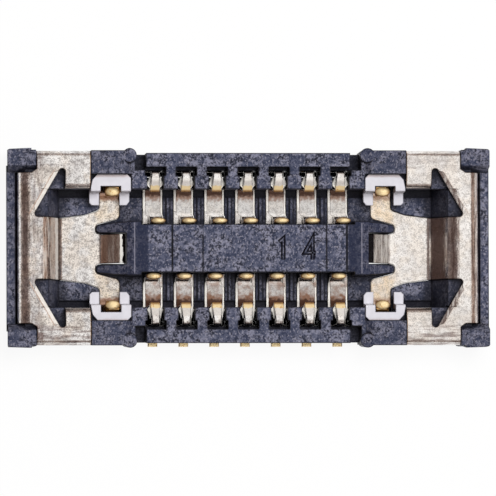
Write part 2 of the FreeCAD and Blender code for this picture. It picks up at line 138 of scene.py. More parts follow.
class Wire:
    """A node's output that takes part in Python expressions."""

    def __init__(self, graph, socket):
        self.graph = graph
        self.socket = socket

    def math(self, operation, *values):
        return self.graph.add("ShaderNodeMath", {"operation": operation}, values)

    def __add__(self, other):
        return self.math("ADD", self, other)

    __radd__ = __add__

    def __sub__(self, other):
        return self.math("SUBTRACT", self, other)

    def __rsub__(self, other):
        return self.math("SUBTRACT", other, self)

    def __mul__(self, other):
        return self.math("MULTIPLY", self, other)

    __rmul__ = __mul__

    def size(self):
        return self.math("ABSOLUTE", self)

    def step(self, low, high):
        """0 below low, 1 above high, smooth between; falls when low is above high."""
        ends = {"From Min": min(low, high), "From Max": max(low, high), "Value": self}
        rising = self.graph.add("ShaderNodeMapRange", {"interpolation_type": "SMOOTHSTEP"}, ends)
        return rising if low < high else 1 - rising


class Graph:
    """A material's or the world's node tree, built from calls."""

    def __init__(self, owner, end):
        owner.use_nodes = True
        self.owner = owner
        self.tree = owner.node_tree
        self.tree.nodes.clear()
        self.end = self.tree.nodes.new(end)

    def add(self, kind, settings=None, inputs=(), output=0):
        """A new node: its settings come first, then the values or wires of its sockets."""
        node = self.tree.nodes.new(kind)
        for name, value in (settings or {}).items():
            setattr(node, name, value)
        pairs = inputs.items() if isinstance(inputs, dict) else enumerate(inputs)
        for key, value in pairs:
            if isinstance(value, Wire):
                self.tree.links.new(value.socket, node.inputs[key])
            else:
                node.inputs[key].default_value = value
        return Wire(self, node.outputs[output])

    def split(self, where):
        return [self.add("ShaderNodeSeparateXYZ", None, [where], axis) for axis in range(3)]

    def place(self):
        """Object space position, and its x, y and z in millimetres."""
        where = self.add("ShaderNodeTexCoord", output="Object")
        return where, [wire * (1 / MM) for wire in self.split(where)]

    def noise(self, where, scale, detail=2.0, stretch=None, rough=0.5):
        if stretch:
            where = self.add("ShaderNodeMapping", None, {"Vector": where, "Scale": stretch})
        values = {"Vector": where, "Scale": scale, "Detail": detail, "Roughness": rough}
        return self.add("ShaderNodeTexNoise", None, values, "Fac")

    def mix(self, factor, first, second, blend="MIX"):
        values = {0: factor, 6: self.colour(first), 7: self.colour(second)}
        return self.add("ShaderNodeMix", {"data_type": "RGBA", "blend_type": blend}, values, 2)

    def colour(self, value):
        return value if isinstance(value, Wire) else (*value, 1.0)

    def rounded(self, radius, samples):
        """Normals that turn smoothly over sharp edges within the radius."""
        return self.add("ShaderNodeBevel", {"samples": samples}, {"Radius": radius}, "Normal")

    def bump(self, height, distance, strength=1.0, edge=0.0):
        """Relief from a height; edge rounds the normals along sharp edges by that radius."""
        values = {"Height": height, "Distance": distance, "Strength": strength}
        if edge:
            values["Normal"] = self.rounded(edge, 6)
        return self.add("ShaderNodeBump", None, values, "Normal")

    def openness(self, reach):
        """1 on open faces, 0 deep in a recess."""
        return self.add("ShaderNodeAmbientOcclusion", {"samples": 12}, {"Distance": reach}, "AO")

    def rim(self, radius):
        """1 along sharp edges within the radius, 0 on the faces between."""
        flat = self.add("ShaderNodeNewGeometry", output="Normal")
        pair = [self.rounded(radius, 8), flat]
        same = self.add("ShaderNodeVectorMath", {"operation": "DOT_PRODUCT"}, pair, "Value")
        return (1 - same).step(0.004, 0.09)

    def surface(self, **sockets):
        names = {key.replace("_", " "): value for key, value in sockets.items()}
        self.close(self.add("ShaderNodeBsdfPrincipled", None, names))
        return self.owner

    def close(self, wire):
        self.tree.links.new(wire.socket, self.end.inputs["Surface"])


def material_graph(name):
    return Graph(bpy.data.materials.new(name), "ShaderNodeOutputMaterial")


def between(value, low, high, soft):
    """1 where value lies from low to high, with soft ends."""
    return value.step(low - soft, low) * value.step(high + soft, high)


def strongest(mask, *others):
    """The largest of several masks."""
    for other in others:
        mask = mask.math("MAXIMUM", mask, other)
    return mask


def dark_moulding(look):
    """Glass filled black polymer with pale fibre flecks and a blue cast, with painted shade in recesses and
    along edges.
    """
    g = material_graph("black_polymer")
    where, (x, y, z) = g.place()
    wide, deep = x.size(), y.size()
    left, right = x.step(0.0, -0.1), x.step(0.0, 0.1)
    on_island = deep.step(0.29, 0.28) * z.step(0.46, 0.47)

    # The moulded grain, with its cool patches, fibre flecks and the island's polished ends.
    grain = g.noise(where, COARSE_GRAIN, 5.0, rough=0.70)
    fine = g.noise(where, FIBRE_GRAIN)
    patches = g.noise(where, PATCHES, 3.0)
    flecks = g.noise(where, FIBRE_FLECKS, 1.0, FIBRE).step(0.58, 0.66)
    smooth_end = wide.step(1.12, 1.15) * wide.step(1.72, 1.70) * deep.step(0.32, 0.31)
    smooth_end = smooth_end * (1 - wide.step(1.23, 1.36) * 0.5)
    mottle = (0.65 * grain + 0.35 * fine).step(0.425, 0.575)
    colour = g.mix(mottle, look.polymer_dark, look.polymer_light)
    colour = g.mix(patches.step(0.42, 0.60) * 0.7, colour, look.polymer_cool)
    colour = g.mix(flecks * 0.6, colour, look.polymer_fleck)
    colour = g.mix(smooth_end * 0.85, colour, look.polymer_smooth)

    # Painted shade: deep recesses and troughs are drawn dark.
    recess = g.openness(0.30 * MM).step(0.95, 0.35)
    trough = z.step(0.085, 0.070)
    colour = g.mix(strongest(recess * 0.88, trough * 0.95), colour, look.polymer_shade)
    for line, half, share in ISLAND_LINES:
        near = (x - line).size().step(half + 0.006, half)
        colour = g.mix(near * on_island * share, colour, look.polymer_shade)

    # The high corner blocks and the left end wall are a little darker, and all edges get a dark line of
    # painted shade.
    high = strongest(z.step(0.45, 0.57) * 0.25, wide.step(2.62, 2.63) * left * 0.25)
    colour = g.mix(high, colour, look.polymer_dark)
    colour = g.mix(g.rim(HOUSING_LINE) * 0.9, colour, look.polymer_shade)
    # Painted shadow of the sheet on the moulding under the fins, stronger on the right.
    shadow_under_fin = wide.step(2.00, 2.06) * wide.step(2.50, 2.44) * deep.step(0.70, 0.60)
    colour = g.mix(shadow_under_fin * (0.45 + 0.17 * right), colour, look.polymer_shade)
    # Painted highlight: a pale line along a ridge on the island's top.
    ridge_highlight = (wide - 1.288).size().step(0.009, 0.003) * on_island
    colour = g.mix(ridge_highlight * 0.5, colour, look.polymer_fleck)

    height = (grain + 0.5 * fine + 0.4 * flecks) * (1 - 0.8 * smooth_end)
    return g.surface(
        Base_Color=colour,
        Roughness=0.40 + 0.25 * grain,
        Normal=g.bump(height, 5.0 * MICRON, 0.9, 7 * MICRON),
        Specular_IOR_Level=0.3,
    )


def sheet_colour(g, where, look, pitted, shaded):
    """Relief and colour of satin nickel: rolled grain, dull hollows, warm patches and painted shade deep in
    folds.
    """
    grain = g.noise(where, COARSE_GRAIN, 4.0, rough=0.72)
    fine = g.noise(where, FINE_GRAIN)
    both = 0.6 * grain + 0.4 * fine
    warm = g.noise(where, WARM_PATCHES).step(0.40, 0.62)
    dull = g.noise(where, DULL_CLOUDS, 3.0, rough=0.6).step(0.42, 0.62)
    colour = g.mix(both.step(0.41, 0.56), look.nickel_dark, look.nickel)
    colour = g.mix(warm * 0.7, colour, look.nickel_warm, "MULTIPLY")
    colour = g.mix(dull * 0.5, colour, look.nickel_dull, "MULTIPLY")
    colour = g.mix(both.step(0.42, 0.35) * pitted, colour, look.nickel_pit)
    # Painted shade: the plating goes brown where a fold is deep.
    fold = g.openness(0.18 * MM).step(0.75, 0.25)
    colour = g.mix(fold * shaded, colour, look.nickel_shade, "MULTIPLY")
    return grain + 0.6 * fine, colour


def plated(g, look, colour, relief, gilt, rim, sheared, depth):
    """Nickel plating with gold where gilt is 1, darker orange painted shade low on the gold where rim is 1,
    and a torn pale edge where sheared is 1.
    """
    colour = g.mix(sheared, colour, look.sheared)
    gold = g.mix(relief.step(0.55, 0.75), look.gold_dark, look.gold)
    colour = g.mix(gilt, colour, g.mix(rim, gold, look.gold_shade))
    return g.surface(
        Base_Color=colour,
        Metallic=1.0 - 0.85 * sheared,
        Roughness=0.17 + 0.10 * relief + 0.25 * sheared - 0.03 * gilt,
        Normal=g.bump(relief, depth, 0.9, 6 * MICRON),
    )


def fitting_metal(look):
    """Nickel plated sheet with gold on the bumps of the power arms, and painted reflections, highlights and
    shade over its folds and edges.
    """
    g = material_graph("fitting_plating")
    where, (x, y, z) = g.place()
    wide, deep = x.size(), y.size()
    left, right = x.step(0.0, -0.1), x.step(0.0, 0.1)
    lower = y.step(0.0, -0.1)
    relief, colour = sheet_colour(g, where, look, pitted=0.3, shaded=0.6)
    rag = g.noise(where, SOFT_RAGGED) - 0.5
    streaks = g.noise(where, STREAKS, stretch=ALONG_Y).step(0.42, 0.62)
    rolled = g.noise(where, RAGGED, stretch=ALONG_X).step(0.42, 0.62)
    fold = x + z * FOLD_SLANT + rag * 0.02
    slope = z.step(0.12, 0.14) * deep.step(0.43, 0.41)

    def band(name):
        return between(fold, *FOLD_BANDS[name], BAND_SOFT)

    # Power arms: gold bump, painted brown shade on the heel below it, and a thin dark gold line where the
    # side flap ends.
    arm = between(wide, 1.40, 1.67, 0.01)
    gilt = arm * deep.step(0.55, 0.56) * z.step(0.18, 0.24)
    heel = arm * (deep + rag * 0.08).step(0.53, 0.57) * z.step(0.36, 0.28)
    start = between(wide + rag * 0.02, 1.787, 1.797, 0.002) * z.step(0.45, 0.47)
    colour = g.mix(heel * 0.85, colour, look.brown_shade)
    colour = g.mix(start * 0.5, colour, look.gold_dark)

    # Painted shade: the raised tab on the left fitting is drawn streaked dark brown, with brown at its heel.
    tab = between(wide, 1.436, 1.690, 0.004) * deep.step(0.175, 0.170)
    tab_face = tab * left * wide.step(1.65, 1.63) * (0.7 + 0.3 * streaks)
    colour = g.mix(tab_face, colour, look.nickel_shade)
    colour = g.mix(tab * left * band("tab_heel") * 0.5, colour, look.brown_shade)

    # Painted reflections and shade: golden brown on the lead-in and lip, a warm cast over the right fitting,
    # brown on the steep bends, dark streaks over the flat top, and brown streaks on the flanges, stronger on
    # the lower one, part rolled marks and part painted reflection.
    lip = band("lip_left") + band("lip_right") * 1.6
    lead_in = band("lead_in") * left * slope
    lead_in_end = band("lead_in_end") * left * slope
    bend = band("bend_foot") * 0.6 + band("bend_middle") + band("bend_top") * (0.35 + 0.5 * streaks)
    bend = bend * right * slope
    flange = deep.step(0.84, 0.91) * rolled * (1 + 1.6 * lower)
    top_streaks = band("top_streaks") * left * (0.2 + 0.5 * streaks)
    colour = g.mix(lead_in * 0.9 + lip * 0.3, colour, look.lead_in, "MULTIPLY")
    colour = g.mix(right * 0.3, colour, look.warm_cast)
    colour = g.mix(lead_in_end + bend, colour, look.bend, "MULTIPLY")
    streaked_shade = flange * 0.28 + lip * streaks * 0.5 + top_streaks * 0.8
    colour = g.mix(streaked_shade, colour, look.bend, "MULTIPLY")

    # Thin gold bleeds along the arms, and painted brown shade runs along the foot of the flanges.
    warmth = (0.4 + 0.6 * g.noise(where, GILT_WARMTH).step(0.35, 0.65)) * (0.45 + 0.12 * right)
    arm_tint = between(wide, 1.40, 1.66, 0.08) * between(deep, 0.26, 0.60, 0.05) * warmth
    foot = between(deep + rag * 0.02, 0.66, 0.70, 0.01) * between(wide, 1.80, 2.05, 0.01)
    foot = foot * z.step(0.30, 0.36) * rolled
    colour = g.mix(arm_tint, colour, look.gilded, "MULTIPLY")
    colour = g.mix(foot * 0.6, colour, look.brown_shade)

    # The slanted cut of the openings: a pale torn edge, brighter on the left as painted highlight, and a
    # golden line of painted reflection beside it.
    across = (wide - FIN_POINT[0]) * FIN_NORMAL[0] + (deep - FIN_POINT[1]) * FIN_NORMAL[1]
    across = across + rag * 0.01
    fin_side = deep.step(0.36, 0.40) * deep.step(0.89, 0.87) * z.step(0.530, 0.540)
    fin_line = between(across, 0.038, 0.052, 0.003) * fin_side
    fin_edge = between(across, -0.004, 0.038, 0.003) * fin_side
    fin_edge = fin_edge * z.step(0.5796, 0.5790) * (left + right * streaks * 0.6)
    colour = g.mix(fin_line * (0.25 + 0.35 * left), colour, look.lead_in)

    # Pale torn finish: bare sheared metal at the left tab's end, the lip's foot and the fin cuts, with
    # painted highlight making the left fin cuts brighter, and painted highlight on the right tab and on the
    # foot line and streaks of the left lead-in. The right tab's end gets painted shade.
    tab_end = (wide + rag * 0.03).step(1.450, 1.443) * (wide + rag * 0.05).step(1.408, 1.416)
    tab_end = tab_end * z.step(0.30, 0.31)
    colour = g.mix(tab_end * right * 0.7, colour, look.nickel_shade)
    foot_highlight = band("foot_highlight") * left * slope
    lip_foot = wide.step(1.75, 1.78) * wide.step(2.09, 2.08) * deep.step(0.70, 0.69)
    lip_foot = lip_foot * z.step(0.452, 0.440) * z.step(0.41, 0.42)
    torn = strongest(
        fin_edge * 0.8,
        lip_foot,
        tab * right * (0.15 + 0.45 * streaks),
        foot_highlight * 0.8,
        tab_end * left,
        lead_in * (0.1 + 0.5 * streaks),
        gilt * 0.35,
    )
    # Painted shade: a dark brown line along the sharp edges.
    colour = g.mix(g.rim(FITTING_LINE) * 0.75, colour, look.deepest_shade)
    # Painted shade low on the power bump.
    bump_low_shade = z.step(0.424, 0.402)
    return plated(g, look, colour, relief, gilt, bump_low_shade, torn, 3.0 * MICRON)


def contact_metal(look, pitch):
    """Nickel plated strip with gold on both bumps and on the tail, and painted shade and highlight around
    the bumps; pitch in millimetres.
    """
    g = material_graph("contact_plating")
    where, (x, y, z) = g.place()
    lower = y.step(0.1, -0.1)
    relief, colour = sheet_colour(g, where, look, pitted=0.0, shaded=0.25)
    colour = g.mix(0.35, colour, look.nickel)
    across = x.math("WRAP", x, pitch / 2, -pitch / 2).size()
    rag = g.noise(where, RAGGED) - 0.5
    deep = y.size() + rag * 0.04
    outer = deep + lower * LOWER_LEAN
    low = z.step(0.14, 0.11)

    # Gold on the outer bump, the inner bump and the tail.
    gilt = between(outer, 0.55, 0.70, 0.01) * z.step(0.28, 0.31) * across.step(0.068, 0.060)
    inner = deep.step(0.41, 0.39) * z.step(0.30, 0.34)
    tail = deep.step(0.86, 0.88) * z.step(0.12, 0.08)

    # Painted shade: brown on the floor part, deepest under the outer bump, darker with brown patches on the
    # lower row, and near black on the riser below the outer bump.
    floor_shade = (outer + rag * 0.10).step(0.515, 0.590) * low * y.size().step(0.80, 0.78)
    deep_floor_shade = (outer + rag * 0.05).step(0.585, 0.612) * low
    patches = g.noise(where, SHADE_PATCHES, 3.0).step(0.42, 0.66) * low * lower
    colour = g.mix(low * lower * 0.22, colour, look.bend, "MULTIPLY")
    colour = g.mix(floor_shade * 0.85 + patches * 0.6, colour, look.brown_shade)
    colour = g.mix(deep_floor_shade * 0.85, colour, look.deepest_shade)
    under = between(z, 0.12, 0.30, 0.03) * deep.step(0.40, 0.41)
    colour = g.mix(under * 0.85, colour, look.polymer_shade)

    # Coined ears and the crown's slope are pale, part coined metal and part painted highlight; shine adds a
    # painted highlight in the middle of the gold crown, and the crown's back gets painted shade.
    shine = g.noise(where, RAGGED, stretch=TORN_Y).step(0.40, 0.60)
    shine = shine * gilt * across.step(0.045, 0.010)
    ears = between(across, 0.052, 0.085, 0.003) * z.step(0.36, 0.38) * deep.step(0.60, 0.62)
    crown_slope = between(z, 0.36, 0.49, 0.01) * between(outer, 0.60, 0.78, 0.02)
    crown_slope = crown_slope * across.step(0.060, 0.052) * (0.6 + 0.2 * gilt)
    dull = strongest(ears * 0.95, crown_slope, inner * 0.3)
    # Painted shade low on both gold bumps.
    bump_low_shade = inner * z.step(0.443, 0.424) + gilt * z.step(0.414, 0.392) * 0.9
    back = outer.step(0.83, 0.87) * z.step(0.40, 0.45) * g.noise(where, RAGGED).step(0.42, 0.55)
    colour = g.mix(back * 0.7, colour, look.deepest_shade)
    # Painted shade: a dark line along the raised strip's sharp edges.
    raised = z.step(0.12, 0.20)
    colour = g.mix(g.rim(CONTACT_LINE) * raised * 0.75, colour, look.polymer_shade)
    gold = gilt + inner + tail
    return plated(g, look, colour, relief + shine * 0.6, gold, bump_low_shade, dull, 1.3 * MICRON)


def sheared_metal(look):
    """Torn bright edge of the punched strip."""
    g = material_graph("sheared_edge")
    where, _ = g.place()
    tear = g.noise(where, TEARS, stretch=TORN_Y)
    colour = g.mix(tear.step(0.25, 0.6), look.sheared_dark, look.sheared)
    normal = g.bump(tear, 1.5 * MICRON, 0.5)
    return g.surface(Base_Color=colour, Metallic=0.2, Roughness=0.42, Normal=normal)


def guard_resin(look):
    """Smooth pale lilac resin with the faintest mottling."""
    g = material_graph("guard_resin")
    where, (x, y, z) = g.place()
    cloud = g.noise(where, RESIN_CLOUDS)
    # A pinkish brown tint along the guards' outer edges.
    edge_tint = (y.size() + (g.noise(where, EDGE_TINT_GRAIN) - 0.5) * 0.03).step(0.79, 0.81)
    colour = g.mix(cloud.step(0.3, 0.7), look.guard, look.guard_pale)
    colour = g.mix(edge_tint * 0.7, colour, look.guard_edge_tint)
    # Painted shade in the guards' corners and along their sharp edges.
    corner = g.openness(0.08 * MM).step(0.7, 0.3)
    colour = g.mix(strongest(corner * 0.4, g.rim(GUARD_LINE) * 0.5), colour, look.guard_shade)
    normal = g.bump(cloud, 1 * MICRON, 0.2, 9 * MICRON)
    return g.surface(Base_Color=colour, Roughness=0.5 + 0.1 * cloud, Normal=normal)


def number_edge_shade(look):
    """Painted shade: a dull black outline along the moulded number's edges."""
    g = material_graph("number_mark")
    where, _ = g.place()
    grain = g.noise(where, OUTLINE_GRAIN)
    return g.surface(
        Base_Color=g.mix(grain.step(0.35, 0.65), look.outline_dark, look.outline),
        Roughness=0.5 + 0.2 * grain,
        Normal=g.bump(grain, 1 * MICRON, 0.5),
        Specular_IOR_Level=0.05,
    )


def paint(name, material):
    """Give a CAD piece its finish."""
    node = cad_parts[name]
    node.data.materials.clear()
    node.data.materials.append(material)


def new_piece(name, bm, materials):
    """A piece made in mesh code, from a mesh in millimetres; it rides on the receptacle."""
    bmesh.ops.scale(bm, vec=(MM, MM, MM), verts=bm.verts)
    bmesh.ops.recalc_face_normals(bm, faces=bm.faces)
    mesh = bpy.data.meshes.new(name)
    bm.to_mesh(mesh)
    bm.free()
    for material in materials:
        mesh.materials.append(material)
    mesh.polygons.foreach_set("use_smooth", [True] * len(mesh.polygons))
    mesh.set_sharp_from_angle(angle=math.radians(32))
    piece = bpy.data.objects.new(name, mesh)
    bpy.context.scene.collection.objects.link(piece)
    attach(piece, "root")
    return piece


def bridge(bm, rings, ridges=(), ridge_index=0, plain_index=0):
    """Walls between rings of points; the faces that start at a ridge get that finish."""
    for first, second in zip(rings, rings[1:]):
        count = len(first)
        for k in range(count):
            after = (k + 1) % count
            face = bm.faces.new((first[k], first[after], second[after], second[k]))
            face.material_index = ridge_index if k in ridges else plain_index
    for end in (rings[0], rings[-1]):
        bm.faces.new(end).material_index = plain_index


def tone(label, text, value):
    """A colour that a user can change, in linear values."""
    return FloatVectorProperty(
        name=label, description=text, default=value, size=3, subtype="COLOR", min=0, max=1
    )


def length(label, text, value):
    """A size that a user can change, given in millimetres."""
    return FloatProperty(name=label, description=text, default=value * MM, unit="LENGTH")


class ContactProps(bpy.types.PropertyGroup):
    """Sizes of the bent contact strip."""

    pitch: length("Pitch", "Spacing of contacts", 0.35)
    gauge: length("Gauge", "Strip thickness", 0.06)
    floor_width: length("Floor width", "Width of the flat part", 0.22)
    leg_width: length("Leg width", "Width of the inner leg", 0.168)
    coin: length("Coined edge", "Bevel on the floor part", 0.026)
    per_row: IntProperty(name="Per row", description="Contacts in each row", default=7)


class LookProps(bpy.types.PropertyGroup):
    """Colours of the finishes, linear values."""

    polymer_dark: tone("Polymer dark", "Deep tone of the housing", (0.012, 0.014, 0.026))
    polymer_light: tone("Polymer light", "Raised grain of the housing", (0.225, 0.229, 0.308))
    polymer_cool: tone("Polymer cool", "Cool patches of the housing", (0.035, 0.045, 0.088))
    polymer_fleck: tone("Polymer fleck", "Glass fibres in the housing", (0.34, 0.33, 0.40))
    polymer_smooth: tone("Polymer smooth", "Polished ends of the island", (0.008, 0.012, 0.034))
    polymer_shade: tone("Polymer shade", "Recesses of the housing", (0.006, 0.006, 0.010))
    nickel: tone("Nickel", "Plated sheet", (1.0, 0.985, 0.97))
    nickel_dark: tone("Nickel dark", "Hollows of the rolled grain", (0.52, 0.50, 0.49))
    nickel_warm: tone("Nickel warm", "Warm patches of the plating", (0.95, 0.88, 0.80))
    nickel_dull: tone("Nickel dull", "Dull clouds of the plating", (0.60, 0.59, 0.60))
    nickel_pit: tone("Nickel pit", "Small dull pits of the plating", (0.27, 0.25, 0.24))
    # Brown of painted shade in deep folds and on the tabs of the end fittings.
    nickel_shade: tone("Nickel shade", "Plating deep in a fold", (0.275, 0.20, 0.175))
    # Painted reflection of warm surroundings over the right fitting.
    warm_cast: tone("Warm cast", "Cast of the right fitting", (1.0, 0.95, 0.90))
    gold: tone("Gold", "Selective gold plating", (1.0, 0.80, 0.46))
    gold_dark: tone("Gold dark", "Hollows of the gold plating", (0.72, 0.38, 0.10))
    # Painted shade, darker orange, low on the gold bumps.
    gold_shade: tone("Gold rim", "Orange gold low on the bumps", (0.42, 0.19, 0.045))
    gilded: tone("Gilded", "Thin gold on the power arms", (1.0, 0.80, 0.52))
    # Painted brown shade under the bumps, at the tab's heel and along the flanges' feet.
    brown_shade: tone("Copper", "Brown shade at the bend", (0.34, 0.19, 0.13))
    # Painted reflections: golden brown on the lead-in and brown on the steep bends.
    lead_in: tone("Lead in", "Golden brown of the lead-in", (0.62, 0.45, 0.36))
    bend: tone("Bend", "Brown of the steep bends", (0.34, 0.27, 0.26))
    # Darkest painted shade: under the contact bumps, on the crown's back and along the fittings' edges.
    deepest_shade: tone("Burnt", "Darkest brown under the bump", (0.060, 0.026, 0.016))
    sheared: tone("Sheared edge", "Torn punched edge", (0.97, 0.94, 0.88))
    sheared_dark: tone("Sheared dark", "Hollows of the torn edge", (0.70, 0.66, 0.62))
    guard: tone("Guard", "Pale guards", (0.66, 0.65, 0.70))
    guard_pale: tone("Guard pale", "Clouds in the guards", (0.71, 0.70, 0.75))
    # Pinkish brown tint along the outer edge of the guards.
    guard_edge_tint: tone("Guard worn", "Rubbed outer edge of the guards", (0.60, 0.50, 0.49))
    guard_shade: tone("Guard shade", "Corners of the guards", (0.34, 0.33, 0.40))
    # Painted shade along the edges of the moulded number.
    outline: tone("Outline", "Outline of the number", (0.008, 0.008, 0.012))
    outline_dark: tone("Outline dark", "Hollows of the outline", (0.002, 0.002, 0.004))


class StudioProps(bpy.types.PropertyGroup):
    """Camera and light of the studio."""

    lean_left: FloatProperty(
        name="Lean left", description="Camera lean towards -X", default=math.radians(5.53), subtype="ANGLE"
    )
    lean_front: FloatProperty(
        name="Lean front", description="Camera lean towards -Y", default=math.radians(1.84), subtype="ANGLE"
    )
    frame_width: length("Frame width", "Width seen by the camera", 5.613)
    lens: FloatProperty(name="Lens", description="Focal length in millimetres", default=1000.0)
    dome: FloatProperty(name="Dome", description="Brightness of the dome", default=1.0)
    fill: FloatProperty(name="Fill", description="Share of the dome that lights dull surfaces", default=0.45)
    lamp: FloatProperty(name="Lamp", description="Power of the key lamp", default=0.027, unit="POWER")
    soft_box: tone("Soft box", "Large light over the part", (1.0, 0.98, 0.96))
    warm_side: tone("Warm side", "Surroundings towards +X", (0.42, 0.31, 0.26))
    dark_side: tone("Dark side", "Surroundings towards -X", (0.20, 0.155, 0.145))
    horizon: tone("Horizon", "Surroundings low down", (0.40, 0.35, 0.33))


def rounded_path(points, steps):
    """Points of a line whose corners (u, v, radius) are replaced by arcs."""
    path = [Vector(points[0][:2])]
    for (a, b, c) in zip(points, points[1:], points[2:]):
        corner, radius = Vector(b[:2]), b[2]
        back = (Vector(a[:2]) - corner).normalized()
        on = (Vector(c[:2]) - corner).normalized()
        half = back.angle(on) / 2
        centre = corner + (back + on).normalized() * radius / math.sin(half)
        reach = radius / math.tan(half)
        start = corner + back * reach - centre
        swing = start.angle_signed(corner + on * reach - centre)
        for i in range(steps + 1):
            turn = Matrix.Rotation(-swing * i / steps, 2)
            path.append(centre + turn @ start)
    path.append(Vector(points[-1][:2]))
    return path


def rise(value, low, high):
    """0 below low, 1 above high, smooth between."""
    share = min(max((value - low) / (high - low), 0.0), 1.0)
    return share * share * (3 - 2 * share)


class Strip:
    """Sizes of one row's bent strip, in millimetres; side is 1 for the upper row, -1 for the lower."""

    def __init__(self, props, side):
        upper = side == 1
        coin = props.coin / MM
        self.side = side
        self.gauge = props.gauge / MM
        self.half = props.floor_width / MM / 2
        self.coins = (coin * 1.1, coin * 0.8)
        self.leg = props.leg_width / MM
        self.leg_shift = 0.036 if upper else -0.015
        self.bump = 0.632 if upper else 0.600
        self.tip = 1.090 if upper else 1.103
        self.lean = 0.0 if upper else LOWER_LEAN

    def profile(self):
        """Visible side of the strip in the (y, z) plane, from the tail's tip to the inner leg's."""
        return [
            (self.tip, TAIL_TOP),
            (0.875, TAIL_TOP, 0.03),
            (0.875, CROWN_TOP, 0.065),
            (0.775, CROWN_TOP, 0.10),
            (self.bump, 0.385, 0.045),
            (0.70, FLOOR_TOP, 0.04),
            (0.335, FLOOR_TOP, 0.05),
            (0.335, 0.275, 0.10),
            (0.353, 0.365, 0.05),
            (0.345, 0.405),
        ]

    def crown(self, y):
        """Half width, plateau and edge drop of the embossed crown."""
        ear = rise(y, 0.675, 0.69) * (1 - rise(y, 0.79, 0.83))
        flare = 1 - rise(y, 0.69, 0.735)
        half = 0.058 + (0.014 + 0.022 * flare) * ear - 0.010 * rise(y, 0.72, 0.80)
        plateau = 0.050 - 0.008 * rise(y, 0.68, 0.76) - 0.006 * rise(y, 0.78, 0.84)
        return half, plateau, 0.012 + 0.040 * ear

    def section(self, y, z):
        """Outline across the strip at a place of its profile, as (across, depth) pairs."""
        centre = 0.0
        if y > 0.89:  # tail
            half, drop, slope = 0.055, 0.008, 0.006
            cores = [half - 0.010] * 2
        elif y > 0.56:  # riser, crown and outer bump
            share = rise(z, 0.13, 0.34)
            width, plateau, edge = self.crown(y + (self.lean if z > 0.3 else 0.0))
            half = self.half + (width - self.half) * share
            cores = [self.half - coin + (plateau - self.half + coin) * share for coin in self.coins]
            drop = 0.008 + (edge - 0.008) * share
            slope = 0.004 + 0.008 * share
        else:  # floor part and inner leg
            share = 1 - rise(y, 0.372, 0.392)
            centre = self.leg_shift * share
            half = self.half + (self.leg / 2 - self.half) * share
            half -= 0.028 * rise(z, 0.28, 0.37) * share
            cores = [half - coin + (coin - 0.012) * share for coin in self.coins]
            drop, slope = 0.008, 0.004
        back_depth = max(self.gauge, drop + 0.035)
        outline = []
        for sign, core in ((1, cores[1]), (-1, cores[0])):
            edge = [
                (core, 0.0),
                (core + min(slope, half - core - 0.004), drop * 0.85),
                (half - 0.002, drop),
                (half, drop + 0.004),
                (half, back_depth - 0.008),
                (half - 0.008, back_depth),
            ]
            edge = [(centre + sign * across, depth) for across, depth in edge]
            outline += edge if sign == 1 else edge[::-1]
        return outline


def floor_wings(bm, place, strip):
    """Flat ends of the floor part on both sides of the inner leg."""
    reach = strip.leg / 2 + LEG_GAP
    top, under = FLOOR_TOP - 0.0004, 0.045
    for low, high in ((-strip.half, strip.leg_shift - reach), (strip.leg_shift + reach, strip.half)):
        if high - low < 0.008:
            continue
        chamfer = min(0.004, (high - low) / 4)
        rings = []
        for y, sink in ((0.430, 0.0), (0.286, 0.0), (0.280, chamfer)):
            points = [(low, under), (high, under), (high, top - chamfer), (high - chamfer, top - sink)]
            points += [(low + chamfer, top - sink), (low, top - chamfer)]
            rings.append([bm.verts.new((place + x, strip.side * y, z)) for x, z in points])
        bridge(bm, rings, ridges=(3,), ridge_index=0, plain_index=1)


def dome(bm, centre, radii):
    """A rounded bump."""
    place = Matrix.Translation(centre) @ Matrix.Diagonal((*radii, 1))
    bmesh.ops.create_uvsphere(bm, u_segments=28, v_segments=16, radius=1, matrix=place)


def contact_mesh(place, strip):
    """One bent contact, in millimetres, at its place along the row."""
    path = rounded_path(strip.profile(), 7)
    dense = [path[0]]
    for a, b in zip(path, path[1:]):
        pieces = max(1, math.ceil((b - a).length / 0.02))
        dense += [a.lerp(b, i / pieces) for i in range(1, pieces + 1)]
    dense = [p for i, p in enumerate(dense) if i == 0 or (p - dense[i - 1]).length > 1e-5]
    bm = bmesh.new()

    def ring(spot, inward, outline):
        points = [(across, spot + inward * depth) for across, depth in outline]
        return [bm.verts.new((place + across, strip.side * at.x, at.y)) for across, at in points]

    rings = []
    for i, p in enumerate(dense):
        along = (dense[min(i + 1, len(dense) - 1)] - dense[max(i - 1, 0)]).normalized()
        rings.append(ring(p, Vector((-along.y, along.x)), strip.section(p.x, p.y)))
    tip = dense[-1]
    along = (tip - dense[-2]).normalized()
    outline = strip.section(tip.x, tip.y)
    centre = sum(across for across, depth in outline) / len(outline)
    for i in range(1, TIP_STEPS + 1):
        turn = math.radians(17 * i)
        shrink = TIP_ROUNDING * (1 - math.cos(turn))
        smaller = []
        for across, depth in outline:
            across += shrink if across < centre else -shrink
            depth += shrink if depth < 0.03 else -shrink
            smaller.append((across, depth))
        spot = tip + along * TIP_LENGTH * math.sin(turn)
        rings.append(ring(spot, Vector((-along.y, along.x)), smaller))
    bridge(bm, rings, ridges=SHEARED_EDGES, ridge_index=1)
    floor_wings(bm, place, strip)
    dome(bm, (place + strip.leg_shift, strip.side * 0.3125, 0.416), (strip.leg / 2, 0.037, 0.036))
    return bm


